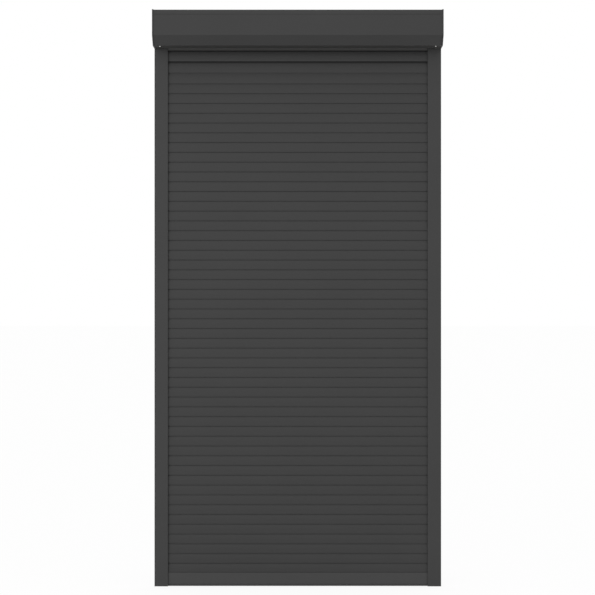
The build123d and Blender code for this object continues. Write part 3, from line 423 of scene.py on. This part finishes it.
galvanised, tree, surface = start_material("hot_dipped_galvanised_steel")
place = add(tree, "ShaderNodeTexCoord", "Object")
cells = {"Vector": place, "Scale": per_size(SPANGLE_MM)}
crystal = add(tree, "ShaderNodeTexVoronoi", "Color", cells)
shade = add(tree, "ShaderNodeSeparateColor", "Red", {"Color": crystal})
mix = {"Factor": shade, "A": linear(SPANGLE_TONES[0]), "B": linear(SPANGLE_TONES[1])}
colour = add(tree, "ShaderNodeMix", "Result", mix, data_type="RGBA")
gloss = add(tree, "ShaderNodeMapRange", "Result", {"Value": shade} | SPANGLE_GLOSS)
body = {"Base Color": colour, "Metallic": 1.0, "Roughness": gloss}
tree.links.new(add(tree, "ShaderNodeBsdfPrincipled", "BSDF", body), surface)
print(galvanised.name, "has spangle of", SPANGLE_MM, "mm")

# %% [markdown]
# The motor's casing is a steel tube with a stoved light grey paint, smoother and glossier than the powder
# coat, with a shallow peel of its own.

# %% The motor's paint
PAINT_TONES = ("#a9abac", "#b4b6b7")
PAINT_GLOSS = {"To Min": 0.3, "To Max": 0.42}
PAINT_PEEL = {"Scale": per_size(1.5), "Detail": 2.0}
PAINT_CLOUD = {"Scale": per_size(60.0), "Detail": 3.0}
PAINT_RELIEF = {"Strength": 0.2, "Distance": 0.00003}

motor_paint, tree, surface = start_material("stoved_paint_on_steel_tube")
place = add(tree, "ShaderNodeTexCoord", "Object")
peel = add(tree, "ShaderNodeTexNoise", "Fac", {"Vector": place} | PAINT_PEEL)
cloud = add(tree, "ShaderNodeTexNoise", "Fac", {"Vector": place} | PAINT_CLOUD)
mix = {"Factor": cloud, "A": linear(PAINT_TONES[0]), "B": linear(PAINT_TONES[1])}
colour = add(tree, "ShaderNodeMix", "Result", mix, data_type="RGBA")
gloss = add(tree, "ShaderNodeMapRange", "Result", {"Value": peel} | PAINT_GLOSS)
relief = add(tree, "ShaderNodeBump", "Normal", {"Height": peel} | PAINT_RELIEF)
body = {"Base Color": colour, "Roughness": gloss, "IOR": RESIN_IOR, "Normal": relief}
tree.links.new(add(tree, "ShaderNodeBsdfPrincipled", "BSDF", body), surface)
print("paint:", motor_paint.name)

# %% [markdown]
# ## Dress the model's own pieces
#
# The record lists for every piece the slot that its finish comes from. Each slot gets one of the
# materials above. Two pieces get a finish of their own: the straps share the slot of the plated steel,
# but are springs, and the seal under the bottom bar shares the slot of the black seals, but is grey.

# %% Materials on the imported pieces
FINISHES = {
    "box_and_caps": sheet_coat,
    "rails": rail_coat,
    "curtain": slat_coat,
    "bottom_bar": lightened_bar_coat,
    "seals": rubber,
    "plastic_parts": nylon,
    "steel_parts": zinc,
    "shaft_steel": galvanised,
    "motor_casing": motor_paint,
    "bearing_steel": ground,
    "screws": stainless,
}
OWN_FINISHES = {"suspension_straps": spring, "bottom_seal": pvc}

for subpart in frame["record"]["subparts"]:
    finish = OWN_FINISHES.get(subpart["node"], FINISHES[subpart["material_slot"]])
    node = frame["nodes"][subpart["node"]]
    node.data.materials.clear()
    node.data.materials.append(finish)

# %% [markdown]
# ## Fasteners
#
# Two pan head screws hold the inspection cover, and four blind rivets close the back of the box. Both are
# bodies of rotation whose radius also changes with the angle, at the cross of the screw's recess and at
# its thread. So one function makes a ring of points from a radius that may be a number or a function of
# the angle, and another bridges the rings. A boolean cut would give the recess too, but leaves untidy
# faces on such a small dome.

# %% Rings of points, bridged into a solid
RING_POINTS = 32
SHARP_FROM = math.radians(35)


def ring(seat, outwards, radius, height):
    """Points round an axis; height is measured outwards from the seat, radius may follow the angle."""
    across = outwards.orthogonal().normalized()
    other = outwards.cross(across)
    points = []
    for step in range(RING_POINTS):
        angle = math.tau * step / RING_POINTS
        reach = radius(angle) if callable(radius) else radius
        rise = height(reach) if callable(height) else height
        spoke = across * math.cos(angle) + other * math.sin(angle)
        points.append(seat + spoke * reach + outwards * rise)
    return points


def bridge(mesh, rings):
    """Joins each ring of points to the next and closes both ends."""
    loops = [[mesh.verts.new(point) for point in points] for points in rings]
    for near, far in zip(loops, loops[1:]):
        for i in range(RING_POINTS):
            j = (i + 1) % RING_POINTS
            mesh.faces.new((near[i], near[j], far[j], far[i]))
    mesh.faces.new(loops[0])
    mesh.faces.new(loops[-1])


def finished(mesh, name, finish, stands_for):
    """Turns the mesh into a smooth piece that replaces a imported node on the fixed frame."""
    bmesh.ops.recalc_face_normals(mesh, faces=mesh.faces)
    data = bpy.data.meshes.new(name)
    mesh.to_mesh(data)
    mesh.free()
    data.shade_smooth()
    data.set_sharp_from_angle(angle=SHARP_FROM)
    data.materials.append(finish)
    piece = bpy.data.objects.new(name, data)
    bpy.context.scene.collection.objects.link(piece)
    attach(piece, "frame")
    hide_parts(stands_for)
    print(name, "has", len(data.polygons), "faces")
    return piece


print("each ring has", RING_POINTS, "points")

# %% [markdown]
# The screw is pressed and rolled: a domed head with a cross recess, and a thread that stands proud of its
# core. The dome is a quarter of an ellipse. The recess is one ring on the dome, drawn in to a cross by a
# high power of a cosine, and a smaller one at its floor. The thread's ridge climbs one pitch a turn,
# which the radius follows at each height, and the point tapers.

# %% Pan head screws of the inspection cover
HEAD_RADIUS = 0.0035
HEAD_RIM = 0.0004
DOME_SHARES = (1.0, 0.97, 0.9, 0.8, 0.68)
RECESS_ARM = 0.0021
RECESS_HUB = 0.0008
RECESS_DEPTH = 0.0019
RECESS_FLOOR_SHARE = 0.6
ARM_POWER = 10
SHANK_LENGTH = 0.009
THREAD_CREST = 0.0019
THREAD_CORE = 0.00145
THREAD_PITCH = 0.0014
RIDGE_HALF_SHARE = 0.3
RINGS_PER_TURN = 6
POINT_LENGTH = 0.002
POINT_SHARE = 0.45


def dome(reach):
    """Height of the domed head at a distance from its middle."""
    return HEAD_RIM + (HEAD_HEIGHT - HEAD_RIM) * math.sqrt(1 - min(1.0, reach / HEAD_RADIUS) ** 2)


def cross(size):
    """Outline of a cross recess, as a radius that follows the angle."""
    arm = RECESS_ARM - RECESS_HUB
    return lambda angle: size * (RECESS_HUB + arm * math.cos(2 * angle) ** ARM_POWER)


def thread(height):
    """Outline of the thread at one height: a ridge that climbs one pitch a turn, fading at the point."""
    def radius(angle):
        phase = (height / THREAD_PITCH + angle / math.tau) % 1.0
        ridge = max(0.0, 1 - abs(phase - 0.5) / RIDGE_HALF_SHARE)
        from_tip = (height + SHANK_LENGTH) / POINT_LENGTH
        taper = min(1.0, POINT_SHARE + (1 - POINT_SHARE) * from_tip)
        return taper * (THREAD_CORE + (THREAD_CREST - THREAD_CORE) * ridge)
    return radius


low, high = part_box("cover_screws")
mesh = bmesh.new()
turns = SHANK_LENGTH / THREAD_PITCH
ring_count = round(turns * RINGS_PER_TURN)
down = Vector((0.0, 0.0, -1.0))
for x in (low[0] + HEAD_RADIUS, high[0] - HEAD_RADIUS):
    seat = Vector((x, (low[1] + high[1]) / 2, low[2] + HEAD_HEIGHT))
    heights = [SHANK_LENGTH * (step / ring_count - 1) for step in range(ring_count + 1)]
    rings = [ring(seat, down, thread(height), height) for height in heights]
    rings.append(ring(seat, down, HEAD_RADIUS, 0.0))
    rings += [ring(seat, down, HEAD_RADIUS * share, dome) for share in DOME_SHARES]
    rings.append(ring(seat, down, cross(1.0), dome))
    rings.append(ring(seat, down, cross(RECESS_FLOOR_SHARE), HEAD_HEIGHT - RECESS_DEPTH))
    bridge(mesh, rings)
finished(mesh, "pan_head_cover_screws", stainless, "cover_screws")

# %% [markdown]
# A blind rivet is set from one side: a mandrel is pulled through it and breaks off. It leaves a low dome
# with a hole, and the mandrel's stub at the hole's bottom. The rivets are coated with the box, so they
# have its finish.

# %% Blind rivets on the back of the box
RIVET_HEAD_RADIUS = 0.0032
RIVET_HEAD = 0.0009
# Radius and height of each ring: up the shank, over the dome, down the hole and onto the mandrel's stub
RIVET_PROFILE = (
    (0.0012, -0.0032),
    (0.0016, -0.0028),
    (0.0016, 0.0),
    (RIVET_HEAD_RADIUS, 0.0),
    (RIVET_HEAD_RADIUS, 0.0002),
    (0.0030, 0.00045),
    (0.0025, 0.0007),
    (0.0019, 0.00085),
    (0.0013, RIVET_HEAD),
    (0.0011, 0.0008),
    (0.00105, -0.0004),
    (0.0009, -0.0004),
    (0.0005, -0.0001),
)

low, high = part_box("shell_rivets")
mesh = bmesh.new()
back = Vector((0.0, 1.0, 0.0))
for x in (low[0] + RIVET_HEAD_RADIUS, high[0] - RIVET_HEAD_RADIUS):
    for z in (low[2] + RIVET_HEAD_RADIUS, high[2] - RIVET_HEAD_RADIUS):
        seat = Vector((x, high[1] - RIVET_HEAD, z))
        bridge(mesh, [ring(seat, back, radius, height) for radius, height in RIVET_PROFILE])
finished(mesh, "blind_rivets", sheet_coat, "shell_rivets")

# %% [markdown]
# ## Studio
#
# A product picture like this one is shot on white. Light Path tells what kind of ray asks. What the
# camera sees directly, in a reflection or through glass is plain white, and every other ray meets a room
# that is a little dimmer. So the background is white without more light on the shutter.

# %% World
ROOM_LIGHT = 0.82
WHITE = "#ffffff"


def seen_directly(tree):
    """1 for what the camera sees, also in a reflection or through glass, and 0 for other light."""
    paths = tree.nodes.new("ShaderNodeLightPath")
    seen = paths.outputs["Is Camera Ray"]
    for other in ("Is Glossy Ray", "Is Transmission Ray"):
        either = {0: seen, 1: paths.outputs[other]}
        seen = add(tree, "ShaderNodeMath", "Value", either, operation="MAXIMUM")
    return seen


world = bpy.data.worlds.new("studio")
world.use_nodes = True
bpy.context.scene.world = world
tree = world.node_tree
tree.nodes.clear()
add(tree, "ShaderNodeOutputWorld", None)
brightness = {"Factor": seen_directly(tree), "A": ROOM_LIGHT, "B": 1.0}
strength = add(tree, "ShaderNodeMix", "Result", brightness, data_type="FLOAT")
room = {"Color": linear(WHITE), "Strength": strength}
backdrop = add(tree, "ShaderNodeBackground", "Background", room)
tree.links.new(backdrop, tree.nodes[0].inputs["Surface"])
print("the room lights the shutter at", ROOM_LIGHT)

# %% [markdown]
# One large soft lamp stands in front and to the left, above the camera's height. It makes the left half
# of the box slightly brighter, and gives the lip and the joints of the curtain their soft shadows.

# %% Key lamp
KEY_PLACE = Vector((-5.0, -6.0, 2.8))
KEY_AIM = Vector((0.0, 0.0, 1.2))
KEY_SIZE = 4.0
KEY_WATTS = 130.0

key_data = bpy.data.lights.new("key", "AREA")
key_data.size = KEY_SIZE
key_data.energy = KEY_WATTS
key = bpy.data.objects.new("key", key_data)
key.location = KEY_PLACE
key.rotation_euler = (KEY_AIM - KEY_PLACE).to_track_quat("-Z", "Y").to_euler()
bpy.context.scene.collection.objects.link(key)
print("key lamp", round((KEY_AIM - KEY_PLACE).length, 2), "m away")

# %% [markdown]
# ## Floor
#
# The floor is a wide plane just under the feet of the rails. As a pale grey it throws light on the slope
# and the underside of the box from below. The camera and reflections see it white, like the backdrop, so
# that its far edge doesn't show. The shutter's soft shadow stays on it in two ways: an Ambient Occlusion
# node dims the white near the feet, and a small share of the real bounce keeps the lamp's shadow.

# %% Floor
FLOOR_HALF = 60.0
FLOOR_DROP = 0.0005
CORNERS = ((-1, -1), (1, -1), (1, 1), (-1, 1))

floor_mesh = bpy.data.meshes.new("floor")
floor_mesh.from_pydata([(x * FLOOR_HALF, y * FLOOR_HALF, 0.0) for x, y in CORNERS], [], [(0, 1, 2, 3)])
floor = bpy.data.objects.new("floor", floor_mesh)
floor.location.z = -FLOOR_DROP
bpy.context.scene.collection.objects.link(floor)
print("floor", 2 * FLOOR_HALF, "m wide")

# %% The floor's finish
FLOOR_TONES = ("#d8d8d8", "#dcdcdc")
FLECKS = {"Scale": per_size(300.0), "Detail": 2.0}
SHADOW_REACH = 0.5
SHADOW_SAMPLES = 8
SHADOW_RANGE = {"From Min": 0.3, "From Max": 0.95, "To Min": 0.94}
WHITE_SHARE = 0.97

floor_finish, tree, surface = start_material("matt_floor")
place = add(tree, "ShaderNodeTexCoord", "Object")
fleck = add(tree, "ShaderNodeTexNoise", "Fac", {"Vector": place} | FLECKS)
mix = {"Factor": fleck, "A": linear(FLOOR_TONES[0]), "B": linear(FLOOR_TONES[1])}
tone = add(tree, "ShaderNodeMix", "Result", mix, data_type="RGBA")
bounce = add(tree, "ShaderNodeBsdfDiffuse", "BSDF", {"Color": tone})
open_sky = add(
    tree, "ShaderNodeAmbientOcclusion", "AO", {"Distance": SHADOW_REACH}, samples=SHADOW_SAMPLES
)
level = add(tree, "ShaderNodeMapRange", "Result", {"Value": open_sky} | SHADOW_RANGE)
glow = add(tree, "ShaderNodeEmission", "Emission", {"Color": linear(WHITE), "Strength": level})
white = add(tree, "ShaderNodeMixShader", "Shader", {"Fac": WHITE_SHARE, 1: bounce, 2: glow})
by_ray = {"Fac": seen_directly(tree), 1: bounce, 2: white}
tree.links.new(add(tree, "ShaderNodeMixShader", "Shader", by_ray), surface)
floor_mesh.materials.append(floor_finish)
print("the shadow dims the floor to", SHADOW_RANGE["To Min"], "at the most")

# %% [markdown]
